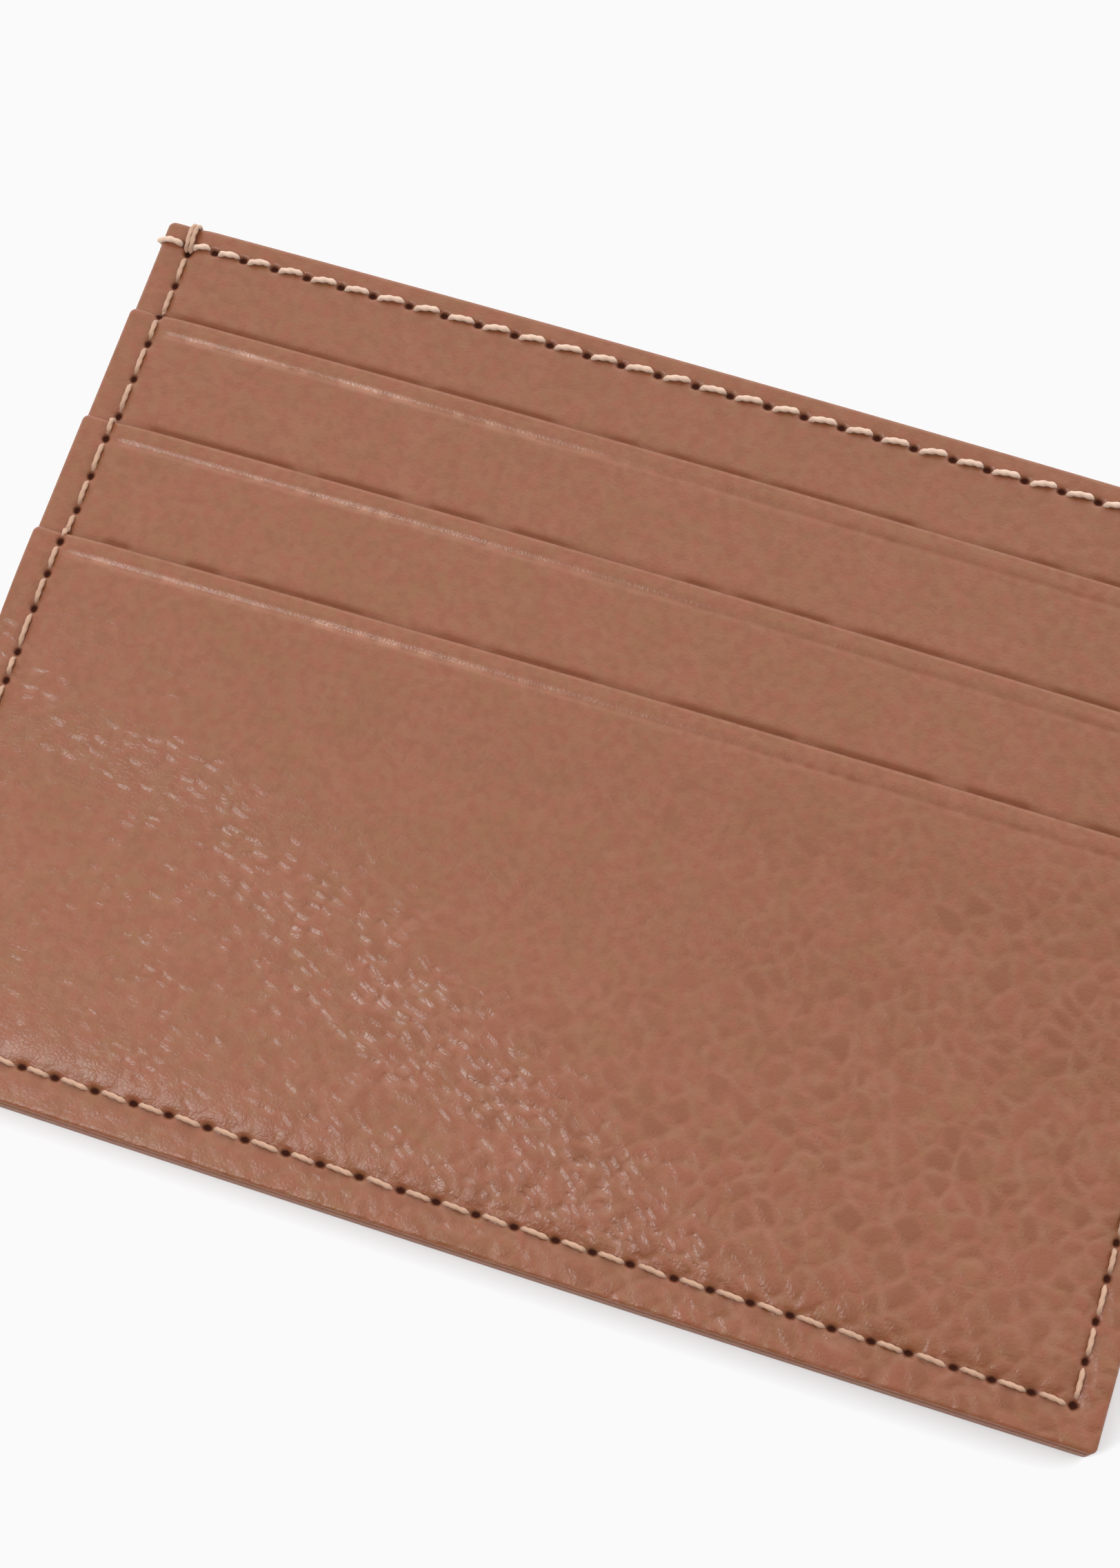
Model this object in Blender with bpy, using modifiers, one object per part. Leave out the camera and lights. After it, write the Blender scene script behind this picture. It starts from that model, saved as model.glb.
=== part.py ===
"""Card holder in turned-edge leather.

Two stiffened halves are sewn together round the sides and the bottom, and leave a pocket that is
open along the top. Three card slots are stepped down the front. The holder lies on its back:
X runs along its width, +Y points to the open top edge, and Z is its thickness, from the flat
back at Z = 0 up to the slots.
"""

import bpy

MM = 0.001

# Driving dimensions.
WIDTH = 100.0 * MM
HEIGHT = 75.0 * MM

# The slots' upper edges and the hidden lower edges of their strips, above the bottom edge.
SLOT_EDGES = (66.2 * MM, 55.8 * MM, 45.3 * MM)
STRIP_ENDS = (42.0 * MM, 33.0 * MM)
POCKET_FLOORS = (20.0 * MM, 11.5 * MM)

# Material thicknesses.
STRIP_LEATHER = 0.60 * MM
BASE_LEATHER = 0.60 * MM
BACK_LEATHER = 0.70 * MM
STIFFENER = 0.30 * MM
FABRIC = 0.15 * MM

# Spaces between the plies: glued plies, slot mouths and the centre pocket.
GLUE_SPACE = 0.08 * MM
SLOT_SPACE = 0.28 * MM
POCKET_SPACE = 0.30 * MM

# Seams, measured in from the edges.
SIDE_SEAM_INSET = 2.5 * MM
BOTTOM_SEAM_INSET = 3.0 * MM
FRONT_HEM_INSET = 1.9 * MM
BACK_HEM_INSET = 2.4 * MM
STITCH_PITCH = 3.1 * MM
SIDE_THREAD_RADIUS = 0.20 * MM
HEM_THREAD_RADIUS = 0.25 * MM
BACK_THREAD_RADIUS = 0.10 * MM
HIDDEN_THREAD_RADIUS = 0.09 * MM
THREAD_SPACE = 0.04 * MM
STITCH_CROWN = 0.10 * MM

# Where a thread turns up to pass over an edge, and how early it climbs to a slot's edge.
TURN_INSET = 0.3 * MM
CLIMB_REACH = 0.6 * MM
CLIMB_LENGTH = 0.8 * MM
CROSSING_REACH = 1.5 * MM

# Marks pressed into the leather.
FRONT_SEAM_DENT = 0.20 * MM
BACK_SEAM_DENT = 0.30 * MM
BACK_HEM_DENT = 0.50 * MM
GROOVE_HALF_WIDTH = 0.45 * MM
GROOVE_FLOOR_HALF = 0.25 * MM
CREASE_INSET = 1.78 * MM
CREASE_DENT = 0.12 * MM

# How the front plies settle below the end of a strip that lies under them.
SETTLE_LENGTH = 9.0 * MM
SETTLED_SHARE = 0.25
SETTLE_STEPS = 5

# Insets of the hidden plies, edge rounding, and the first grid line in from an edge.
LINING_INSET = 0.4 * MM
POCKET_LINING_SIDE_INSET = 1.3 * MM
STIFFENER_INSET = 3.8 * MM
STIFFENER_BOTTOM_INSET = 4.3 * MM
STIFFENER_CLEARANCE = 0.3 * MM
LAP = 3.0 * MM
EDGE_ROUNDING = 0.27 * MM
EDGE_LINE = 0.45 * MM
LEAST_LINE_SPACING = 0.1 * MM
SHARP_ANGLE = 1.1

# The side thread passes over the top edge, and the origin is centred with it included.
TOP_WRAP = THREAD_SPACE + 2 * SIDE_THREAD_RADIUS
TOP_Y = (HEIGHT - TOP_WRAP) / 2
BOTTOM_Y = TOP_Y - HEIGHT
RIGHT_X = WIDTH / 2
SEAM_X = RIGHT_X - SIDE_SEAM_INSET
BOTTOM_SEAM_Y = BOTTOM_Y + BOTTOM_SEAM_INSET
FRONT_HEM_Y = TOP_Y - FRONT_HEM_INSET
BACK_HEM_Y = TOP_Y - BACK_HEM_INSET

# Heights of the plies of the two halves, from the back up. Round the stiffeners, the leather's
# turned-over margins fill the stiffeners' thickness.
BACK_STIFFENER_Z = BACK_LEATHER + GLUE_SPACE
BACK_MARGIN_TOP = BACK_STIFFENER_Z + STIFFENER
BACK_LINING_Z = BACK_MARGIN_TOP + GLUE_SPACE
POCKET_FLOOR_Z = BACK_LINING_Z + FABRIC
FRONT_LINING_Z = POCKET_FLOOR_Z + POCKET_SPACE
FRONT_STIFFENER_Z = FRONT_LINING_Z + FABRIC + GLUE_SPACE
BASE_UNDERSIDE = FRONT_STIFFENER_Z + STIFFENER + GLUE_SPACE
BASE_TOP = BASE_UNDERSIDE + BASE_LEATHER

LEATHER_COLOUR = (0.366, 0.162, 0.102, 1.0)
THREAD_COLOUR = (0.750, 0.560, 0.400, 1.0)
LINING_COLOUR = (0.115, 0.062, 0.042, 1.0)
BOARD_COLOUR = (0.300, 0.240, 0.180, 1.0)


def clear_scene():
    for item in list(bpy.data.objects):
        bpy.data.objects.remove(item, do_unlink=True)


def make_material(name, colour, roughness):
    material = bpy.data.materials.new(name)
    material.use_nodes = True
    shader = material.node_tree.nodes["Principled BSDF"]
    shader.inputs["Base Color"].default_value = colour
    shader.inputs["Roughness"].default_value = roughness
    shader.inputs["Metallic"].default_value = 0.0
    return material


def clamp(value):
    return max(0.0, min(1.0, value))


def ease(share):
    share = clamp(share)
    return share * share * (3.0 - 2.0 * share)


# Heights of the plies.

def strip_support(y, number):
    """How much of strip `number` the plies above it still feel at y."""
    past_end = BOTTOM_Y + STRIP_ENDS[number - 1] - y
    return 1.0 - (1.0 - SETTLED_SHARE) * ease(past_end / SETTLE_LENGTH)


def strip_underside(y, number):
    """Height of the underside of slot strip 1, 2 or 3."""
    height = BASE_TOP + number * SLOT_SPACE
    for below in range(1, number):
        height += STRIP_LEATHER * strip_support(y, below)
    return height


def pocket_lining_underside(y, number):
    """The pocket lining lies in the middle of the slot space under its strip."""
    return strip_underside(y, number) - (SLOT_SPACE + FABRIC) / 2


def face_height(y):
    """Height of the uppermost leather at y."""
    covering = [number for number, edge in enumerate(SLOT_EDGES, 1) if y < BOTTOM_Y + edge]
    if not covering:
        return BASE_TOP
    return strip_underside(y, covering[-1]) + STRIP_LEATHER


def thread_bed(y):
    """Height that a thread of the side seam clears, also just before a slot's edge."""
    high = max(face_height(y), face_height(y - CLIMB_REACH), face_height(y + CLIMB_REACH))
    for edge in SLOT_EDGES:
        past_edge = y - BOTTOM_Y - edge - CLIMB_REACH
        if 0.0 <= past_edge <= CLIMB_LENGTH:
            top = face_height(y - CLIMB_REACH - CLIMB_LENGTH)
            return top + (high - top) * past_edge / CLIMB_LENGTH
    return high


# Dents of the seams and creases.

def groove(offset):
    """1 on the floor of a groove, falling to 0 at its sides."""
    return clamp((GROOVE_HALF_WIDTH - abs(offset)) / (GROOVE_HALF_WIDTH - GROOVE_FLOOR_HALF))


def groove_lines(centre):
    return [centre + offset for offset in
            (-GROOVE_HALF_WIDTH, -GROOVE_FLOOR_HALF, GROOVE_FLOOR_HALF, GROOVE_HALF_WIDTH)]


def perimeter_groove(x, y):
    """The groove of the seam down both sides and along the bottom."""
    beyond_bottom = max(0.0, BOTTOM_SEAM_Y - y)
    beyond_side = max(0.0, abs(x) - SEAM_X)
    on_side = groove(abs(x) - SEAM_X) * groove(beyond_bottom)
    on_bottom = groove(y - BOTTOM_SEAM_Y) * groove(beyond_side)
    return max(on_side, on_bottom)


def base_dent(x, y):
    return FRONT_SEAM_DENT * max(perimeter_groove(x, y), groove(y - FRONT_HEM_Y))


def back_dent(x, y):
    return max(BACK_SEAM_DENT * perimeter_groove(x, y), BACK_HEM_DENT * groove(y - BACK_HEM_Y))


def strip_dent(number):
    crease_y = BOTTOM_Y + SLOT_EDGES[number - 1] - CREASE_INSET

    def dent(x, y):
        return max(FRONT_SEAM_DENT * perimeter_groove(x, y), CREASE_DENT * groove(y - crease_y))
    return dent


# Builders.

def grid_lines(low, high, marks):
    """Grid positions from low to high, with a line near each edge and at the marks between."""
    inner_low = low + EDGE_LINE
    inner_high = high - EDGE_LINE
    first = inner_low + LEAST_LINE_SPACING
    last = inner_high - LEAST_LINE_SPACING
    inside = [mark for mark in marks if first < mark < last]
    return [low, inner_low] + sorted(inside) + [inner_high, high]


def settle_lines(numbers):
    """Grid positions where the plies above strips of these numbers settle."""
    lines = []
    for number in numbers:
        start = BOTTOM_Y + STRIP_ENDS[number - 1]
        lines += [start - SETTLE_LENGTH * step / SETTLE_STEPS for step in range(SETTLE_STEPS)]
    if lines:
        lines.append(min(lines) - SETTLE_LENGTH / SETTLE_STEPS)
    return lines


def make_sheet(name, columns, rows, base, thickness, material, side=1, dent=None, rounding=0.0):
    """A sheet built up (side 1) or down (side -1) from the height base(y).

    dent(x, y) is the depth pressed into the built side.
    """
    bpy.ops.mesh.primitive_grid_add(
        x_subdivisions=len(columns) - 1, y_subdivisions=len(rows) - 1, size=2.0)
    sheet = bpy.context.object
    sheet.name = name
    sheet.data.name = name
    weights = sheet.vertex_groups.new(name="thickness")
    for vertex in sheet.data.vertices:
        x = columns[round((vertex.co.x + 1.0) / 2.0 * (len(columns) - 1))]
        y = rows[round((vertex.co.y + 1.0) / 2.0 * (len(rows) - 1))]
        vertex.co = (x, y, base(y))
        depth = dent(x, y) if dent else 0.0
        weights.add([vertex.index], 1.0 - depth / thickness, "REPLACE")

    solid = sheet.modifiers.new("Thickness", "SOLIDIFY")
    solid.thickness = thickness
    solid.offset = side
    solid.vertex_group = weights.name
    if rounding:
        bevel = sheet.modifiers.new("Turned edge", "BEVEL")
        bevel.width = rounding
        bevel.segments = 2
        bevel.limit_method = "ANGLE"
        bevel.angle_limit = SHARP_ANGLE
    sheet.data.materials.append(material)
    return sheet


def make_box(name, half_width, low, high, bottom, top):
    """A plain box, centred across the width."""
    bpy.ops.mesh.primitive_cube_add(size=1.0)
    box = bpy.context.object
    box.name = name
    for vertex in box.data.vertices:
        vertex.co.x *= 2 * half_width
        vertex.co.y = high if vertex.co.y > 0 else low
        vertex.co.z = top if vertex.co.z > 0 else bottom
    return box


def cut_recess(panel, bottom, top):
    """Cuts the flat recess that a stiffener lies in, between the panel's turned margins."""
    inset = STIFFENER_INSET - STIFFENER_CLEARANCE
    low = BOTTOM_Y + STIFFENER_BOTTOM_INSET - STIFFENER_CLEARANCE
    cutter = make_box(panel.name + "_recess", RIGHT_X - inset, low, TOP_Y - inset, bottom, top)
    cutter.hide_render = True
    cutter.display_type = "WIRE"
    cut = panel.modifiers.new("Stiffener recess", "BOOLEAN")
    cut.operation = "DIFFERENCE"
    cut.solver = "EXACT"
    cut.object = cutter
    return cutter


def make_flat_sheet(name, half_width, low, high, height, thickness, material):
    return make_sheet(name, [-half_width, half_width], [low, high], lambda y: height,
                      thickness, material)


def make_thread(name, route, radius, material, closed):
    """A thread along route, a list of (x, y, z, share of the radius)."""
    curve = bpy.data.curves.new(name, "CURVE")
    curve.dimensions = "3D"
    curve.bevel_depth = radius
    curve.bevel_resolution = 1
    curve.use_fill_caps = True
    spline = curve.splines.new("POLY")
    spline.points.add(len(route) - 1)
    for point, (x, y, z, share) in zip(spline.points, route):
        point.co = (x, y, z, 1.0)
        point.radius = share
    spline.use_cyclic_u = closed
    thread = bpy.data.objects.new(name, curve)
    bpy.context.scene.collection.objects.link(thread)
    thread.data.materials.append(material)
    return thread


def sewn_run(start, end, radius, bed, dent, passing_over=None):
    """Points of a row of stitches from start to end, each dipping at its holes."""
    length = abs(end[0] - start[0]) + abs(end[1] - start[1])
    count = round(length / STITCH_PITCH)
    route = []
    for stitch in range(count):
        for part, crown in ((0.0, 0.0), (0.3, 1.0), (0.7, 1.0)):
            share = (stitch + part) / count
            x = start[0] + (end[0] - start[0]) * share
            y = start[1] + (end[1] - start[1]) * share
            z = bed(y) - dent + THREAD_SPACE + radius + STITCH_CROWN * crown
            if passing_over:
                z += passing_over(y)
            route.append((x, y, z, 1.0))
    return route


def over_hem(y):
    """Extra height of the side thread where it crosses the hem thread."""
    crossing = ease(1.6 - abs(y - FRONT_HEM_Y) / CROSSING_REACH)
    return (2 * HEM_THREAD_RADIUS + STITCH_CROWN + THREAD_SPACE) * crossing


# The pieces.

def leather_columns():
    marks = groove_lines(-SEAM_X) + groove_lines(SEAM_X)
    return grid_lines(-RIGHT_X, RIGHT_X, marks)


def make_back_panel(leather):
    rows = grid_lines(BOTTOM_Y, TOP_Y, groove_lines(BOTTOM_SEAM_Y) + groove_lines(BACK_HEM_Y))
    return make_sheet("back_panel", leather_columns(), rows, lambda y: BACK_MARGIN_TOP,
                      BACK_MARGIN_TOP, leather, side=-1, dent=back_dent, rounding=EDGE_ROUNDING)


def make_stiffener(name, height, board):
    return make_flat_sheet(name, RIGHT_X - STIFFENER_INSET, BOTTOM_Y + STIFFENER_BOTTOM_INSET,
                           TOP_Y - STIFFENER_INSET, height, STIFFENER, board)


def make_centre_lining(name, height, fabric):
    return make_flat_sheet(name, RIGHT_X - LINING_INSET, BOTTOM_Y + LINING_INSET,
                           TOP_Y - LINING_INSET, height, FABRIC, fabric)


def make_base_panel(leather):
    rows = grid_lines(BOTTOM_Y, TOP_Y, groove_lines(BOTTOM_SEAM_Y) + groove_lines(FRONT_HEM_Y))
    return make_sheet("front_base_panel", leather_columns(), rows, lambda y: FRONT_STIFFENER_Z,
                      BASE_TOP - FRONT_STIFFENER_Z, leather, dent=base_dent,
                      rounding=EDGE_ROUNDING)


def make_slot_leather(number, name, low, leather):
    """The leather of one slot: a turned upper edge with a crease pressed along it."""
    high = BOTTOM_Y + SLOT_EDGES[number - 1]
    marks = groove_lines(high - CREASE_INSET) + settle_lines(range(1, number))
    if low < BOTTOM_SEAM_Y:
        marks += groove_lines(BOTTOM_SEAM_Y)
    return make_sheet(name, leather_columns(), grid_lines(low, high, marks),
                      lambda y: strip_underside(y, number), STRIP_LEATHER, leather,
                      dent=strip_dent(number), rounding=EDGE_ROUNDING)


def make_pocket_lining(number, fabric):
    """The cloth that carries a slot's pocket on down from the lower end of its strip."""
    half_width = RIGHT_X - POCKET_LINING_SIDE_INSET
    low = BOTTOM_Y + POCKET_FLOORS[number - 1] - LAP / 2
    high = BOTTOM_Y + STRIP_ENDS[number - 1] + LAP
    rows = grid_lines(low, high, settle_lines(range(1, number)))
    return make_sheet(f"slot_{number}_lining", [-half_width, half_width], rows,
                      lambda y: pocket_lining_underside(y, number), FABRIC, fabric)


def make_perimeter_thread(thread):
    """One thread round the sides and bottom, on both faces, closed over the top edge."""
    radius = SIDE_THREAD_RADIUS
    back_share = BACK_THREAD_RADIUS / radius
    back_z = THREAD_SPACE + BACK_THREAD_RADIUS
    wrap_y = TOP_Y + THREAD_SPACE + radius
    turn_y = TOP_Y - TURN_INSET

    def face(start, end):
        return sewn_run(start, end, radius, thread_bed, FRONT_SEAM_DENT, over_hem)

    route = []
    route += face((-SEAM_X, turn_y), (-SEAM_X, BOTTOM_SEAM_Y))
    route += face((-SEAM_X, BOTTOM_SEAM_Y), (SEAM_X, BOTTOM_SEAM_Y))
    route += face((SEAM_X, BOTTOM_SEAM_Y), (SEAM_X, turn_y))
    top_z = BASE_TOP + THREAD_SPACE + radius + over_hem(turn_y)
    route.append((SEAM_X, turn_y, top_z, 1.0))
    route.append((SEAM_X, wrap_y, BASE_TOP, 1.0))
    route.append((SEAM_X, wrap_y, BACK_LEATHER, 1.0))
    route.append((SEAM_X, wrap_y, back_z + radius, back_share))
    route.append((SEAM_X, turn_y, back_z, back_share))
    route.append((SEAM_X, BOTTOM_SEAM_Y, back_z, back_share))
    route.append((-SEAM_X, BOTTOM_SEAM_Y, back_z, back_share))
    route.append((-SEAM_X, turn_y, back_z, back_share))
    route.append((-SEAM_X, wrap_y, back_z + radius, back_share))
    route.append((-SEAM_X, wrap_y, BACK_LEATHER, 1.0))
    route.append((-SEAM_X, wrap_y, BASE_TOP, 1.0))
    return make_thread("perimeter_thread", route, radius, thread, True)


def make_front_hem_thread(thread):
    """The hem seam of the front half, wrapped over its side edges into the centre pocket."""
    radius = HEM_THREAD_RADIUS
    inner_share = BACK_THREAD_RADIUS / radius
    wrap_x = RIGHT_X + THREAD_SPACE + radius
    turn_x = RIGHT_X - TURN_INSET
    top_z = BASE_TOP - FRONT_SEAM_DENT + THREAD_SPACE + radius
    inner_z = FRONT_LINING_Z - THREAD_SPACE - BACK_THREAD_RADIUS
    y = FRONT_HEM_Y
    route = sewn_run((-turn_x, y), (turn_x, y), radius, lambda y: BASE_TOP, FRONT_SEAM_DENT)
    route.append((turn_x, y, top_z, 1.0))
    route.append((wrap_x, y, BASE_TOP - radius, 1.0))
    route.append((wrap_x, y, FRONT_LINING_Z + radius, 1.0))
    route.append((wrap_x - radius, y, inner_z, inner_share))
    route.append((turn_x, y, inner_z, inner_share))
    route.append((-turn_x, y, inner_z, inner_share))
    route.append((radius - wrap_x, y, inner_z, inner_share))
    route.append((-wrap_x, y, FRONT_LINING_Z + radius, 1.0))
    route.append((-wrap_x, y, BASE_TOP - radius, 1.0))
    return make_thread("front_hem_thread", route, radius, thread, True)


def make_back_hem_thread(thread):
    """The hem seam of the back half: sunk in the back, and inside the centre pocket."""
    radius = BACK_THREAD_RADIUS
    wrap_x = RIGHT_X + THREAD_SPACE + radius
    turn_x = RIGHT_X - TURN_INSET
    outer_z = BACK_HEM_DENT - THREAD_SPACE - radius
    inner_z = POCKET_FLOOR_Z + THREAD_SPACE + radius
    right_end = [(turn_x, outer_z), (wrap_x, outer_z + radius),
                 (wrap_x, inner_z - radius), (turn_x, inner_z)]
    left_end = [(-x, z) for x, z in reversed(right_end)]
    route = [(x, BACK_HEM_Y, z, 1.0) for x, z in right_end + left_end]
    return make_thread("back_hem_thread", route, radius, thread, True)


def make_hidden_thread(name, y, bed, thread):
    """A plain row of stitches across a hidden seam, lying on the height bed."""
    radius = HIDDEN_THREAD_RADIUS
    half = SEAM_X - 2.0 * MM
    height = bed + THREAD_SPACE + radius
    route = [(-half, y, height, 1.0), (half, y, height, 1.0)]
    return make_thread(name, route, radius, thread, False)


def make_hidden_threads(thread):
    """The seams that join each pocket lining to its strip, and that close its floor."""
    threads = []
    for number in (1, 2):
        join_y = BOTTOM_Y + STRIP_ENDS[number - 1] + LAP / 2
        join_bed = strip_underside(join_y, number) + STRIP_LEATHER
        threads.append(make_hidden_thread(f"slot_{number}_join_thread", join_y, join_bed, thread))
        floor_y = BOTTOM_Y + POCKET_FLOORS[number - 1]
        floor_bed = pocket_lining_underside(floor_y, number) + FABRIC
        threads.append(make_hidden_thread(f"slot_{number}_floor_thread", floor_y, floor_bed, thread))
    return threads


def gather(name, items):
    """Moves the items into a new collection."""
    collection = bpy.data.collections.new(name)
    bpy.context.scene.collection.children.link(collection)
    for item in items:
        for owner in list(item.users_collection):
            owner.objects.unlink(item)
        collection.objects.link(item)


def build():
    clear_scene()
    leather = make_material("leather", LEATHER_COLOUR, 0.55)
    thread = make_material("thread", THREAD_COLOUR, 0.7)
    fabric = make_material("lining fabric", LINING_COLOUR, 0.85)
    board = make_material("stiffener board", BOARD_COLOUR, 0.9)

    back_panel = make_back_panel(leather)
    base_panel = make_base_panel(leather)
    cutters = [
        cut_recess(back_panel, BACK_LEATHER, BACK_LINING_Z),
        cut_recess(base_panel, FRONT_LINING_Z, BASE_UNDERSIDE),
    ]
    pieces = [
        back_panel,
        make_stiffener("back_stiffener", BACK_STIFFENER_Z, board),
        make_centre_lining("centre_lining_back", BACK_LINING_Z, fabric),
        make_centre_lining("centre_lining_front", FRONT_LINING_Z, fabric),
        make_stiffener("front_stiffener", FRONT_STIFFENER_Z, board),
        base_panel,
        make_slot_leather(1, "slot_1_strip", BOTTOM_Y + STRIP_ENDS[0], leather),
        make_pocket_lining(1, fabric),
        make_slot_leather(2, "slot_2_strip", BOTTOM_Y + STRIP_ENDS[1], leather),
        make_pocket_lining(2, fabric),
        make_slot_leather(3, "slot_3_panel", BOTTOM_Y, leather),
        make_perimeter_thread(thread),
        make_front_hem_thread(thread),
        make_back_hem_thread(thread),
    ]
    pieces += make_hidden_threads(thread)

    gather("card_holder", pieces)
    gather("cutters", cutters)


build()
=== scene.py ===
"""Looks of the card holder: grained leather plies with turned edges, twisted stitches, woven
linings, a pale floor, soft light and the camera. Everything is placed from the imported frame."""

import math

import bpy
import numpy as np
from mathutils import Euler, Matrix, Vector


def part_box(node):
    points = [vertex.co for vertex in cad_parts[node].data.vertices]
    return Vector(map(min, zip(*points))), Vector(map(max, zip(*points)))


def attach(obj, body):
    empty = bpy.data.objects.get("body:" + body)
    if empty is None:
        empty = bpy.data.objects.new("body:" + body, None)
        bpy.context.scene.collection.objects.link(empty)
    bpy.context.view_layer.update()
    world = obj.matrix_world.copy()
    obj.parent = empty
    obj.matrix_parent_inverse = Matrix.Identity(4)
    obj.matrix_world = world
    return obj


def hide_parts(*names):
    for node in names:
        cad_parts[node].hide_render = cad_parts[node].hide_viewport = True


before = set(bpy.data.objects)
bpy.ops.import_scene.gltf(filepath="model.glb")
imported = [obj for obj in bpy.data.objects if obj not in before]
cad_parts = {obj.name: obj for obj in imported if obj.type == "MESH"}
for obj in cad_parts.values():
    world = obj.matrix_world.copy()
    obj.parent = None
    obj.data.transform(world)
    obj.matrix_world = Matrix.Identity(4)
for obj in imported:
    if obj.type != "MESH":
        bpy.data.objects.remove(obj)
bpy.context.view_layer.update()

MM = 0.001

# The frame's own places.
BASE_LOW, BASE_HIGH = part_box("front_base_panel")
BACK_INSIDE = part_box("back_panel")[1].z
SLOT_NODES = ("slot_1_strip", "slot_2_strip", "slot_3_panel")
SLOT_EDGES = [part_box(node)[1].y for node in SLOT_NODES]
STRIP_ENDS = [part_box(node)[0].y for node in SLOT_NODES[:2]]
RIGHT_X = BASE_HIGH.x
TOP_Y = BASE_HIGH.y
BOTTOM_Y = BASE_LOW.y
BASE_TOP = BASE_HIGH.z
SLOT_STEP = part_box("slot_1_strip")[1].z - BASE_TOP
LEATHER = 0.60 * MM
BASE_LEATHER = 0.83 * MM
LINING = 0.15 * MM
LINING_GAP = 0.065 * MM
SETTLE_LENGTH = 9.0 * MM
SETTLED_SHARE = 0.25

# Height at which the two halves meet along the seams, and the gap left between two leathers.
HALVES_MEET = 1.46 * MM
CONTACT_GAP = 0.03 * MM

# Seams.
SEAM_X = RIGHT_X - 2.5 * MM
BOTTOM_SEAM_Y = BOTTOM_Y + 3.0 * MM
FRONT_HEM_Y = TOP_Y - 1.9 * MM
BACK_HEM_Y = TOP_Y - 2.4 * MM
PITCH = 3.1 * MM
HEM_PITCH = 3.17 * MM
HEM_END_PITCH = 2.3 * MM
HEM_END_INSET = 2.25 * MM
FIRST_HOLE_Y = TOP_Y - 2.55 * MM
CREASE_INSET = 1.78 * MM

# Threads.
SIDE_THREAD = 0.20 * MM
FRONT_HEM_THREAD = 0.245 * MM
BACK_HEM_THREAD = 0.15 * MM
TWIST_LENGTH = MM / 0.62

# How far along Y each edge strays from its straight line: at its left end, middle and right end.
TOP_STRAY = (0.0, 0.40 * MM, 0.0)
BOTTOM_STRAY = (0.0, -0.17 * MM, 0.0)
SLOT_STRAYS = ((-0.15 * MM, 0.05 * MM, -0.10 * MM),
               (-0.38 * MM, 0.07 * MM, -0.28 * MM),
               (-0.62 * MM, 0.08 * MM, 0.10 * MM))
STRAY_LENGTH = 11.0 * MM

# Fineness of the leather meshes.
FINE = 0.255 * MM
SEAM_FINE = 0.14 * MM
HIDDEN_STEP = 2.5 * MM
CORNER = 0.6 * MM

# The grain's pebbles, and the fine folds' dents: they run in rings round FLOW_CENTRE.
PEBBLE = 1.95 * MM
FLOW_CENTRE = (-57.0 * MM, -125.0 * MM)
FLOW_RADIUS = 112.0 * MM
DENT_SPACING = 1.7 * MM
RING_SPACING = 0.92 * MM

# Light and camera.
SURROUND = 1.30
SURROUND_SLOPE = 0.92
PAPER_WHITE = 0.956
SOFTBOX_PLACE = (-166 * MM, -146 * MM, 352 * MM)
SOFTBOX_SIZE = 130 * MM
SOFTBOX_POWER = 0.78
CAMERA_PLACE = (21.59 * MM, -61.29 * MM, 210.33 * MM)
CAMERA_TURN = (17.499, 1.281, 17.985)
LENS = 63.32


# ---------------------------------------------------------------- small maths

def smooth(share):
    """0 to 1 with soft ends, for a share that may lie outside 0 to 1."""
    share = np.clip(share, 0.0, 1.0)
    return share * share * (3.0 - 2.0 * share)


def bell(distance, width):
    """1 at no distance, and falling away over about `width`."""
    return np.exp(-(distance / width) ** 2)


def random_table(seed):
    return np.random.RandomState(seed).rand(512, 512)


def value_noise(x, y, scale, seed):
    """Smooth noise from 0 to 1, with features about `scale` wide."""
    table = random_table(seed)
    size = table.shape[0]
    u = x / scale + size / 2
    v = y / scale + size / 2
    i = np.floor(u).astype(int)
    j = np.floor(v).astype(int)
    fu = smooth(u - i)
    fv = smooth(v - j)
    i0, i1, j0, j1 = i % size, (i + 1) % size, j % size, (j + 1) % size
    low = table[i0, j0] * (1 - fu) + table[i1, j0] * fu
    high = table[i0, j1] * (1 - fu) + table[i1, j1] * fu
    return low * (1 - fv) + high * fv


def layered_noise(x, y, scale, seed, layers):
    """Value noise in layers, each half as wide and half as strong as the one before."""
    total = 0.0
    weight = 0.0
    for layer in range(layers):
        share = 0.5 ** layer
        total = total + share * value_noise(x, y, scale * share, seed + layer)
        weight += share
    return total / weight


def cells(x, y, spacing, seed):
    """Irregular cells: distance in from the cell's border (0 to about 0.5), and its random tone."""
    table_x, table_y = random_table(seed), random_table(seed + 1)
    table_tone = random_table(seed + 2)
    size = table_x.shape[0]
    u = x / spacing + size / 2
    v = y / spacing + size / 2
    i = np.floor(u).astype(int)
    j = np.floor(v).astype(int)
    nearest = np.full(np.shape(u), 9.0)
    second = np.full(np.shape(u), 9.0)
    tone = np.zeros(np.shape(u))
    for di in (-1, 0, 1):
        for dj in (-1, 0, 1):
            a, b = (i + di) % size, (j + dj) % size
            px = i + di + 0.12 + 0.76 * table_x[a, b]
            py = j + dj + 0.12 + 0.76 * table_y[a, b]
            distance = np.hypot(u - px, v - py)
            closer = distance < nearest
            second = np.where(closer, nearest, np.minimum(second, distance))
            tone = np.where(closer, table_tone[a, b], tone)
            nearest = np.where(closer, distance, nearest)
    return (second - nearest) / 2, tone


# ---------------------------------------------------------------- how the edges stray

def stray(x, amounts):
    """A parabola through the amounts at the left end, the middle and the right end."""
    left, middle, right = amounts
    across = x / RIGHT_X
    return middle + (right - left) / 2 * across + ((right + left) / 2 - middle) * across ** 2


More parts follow.
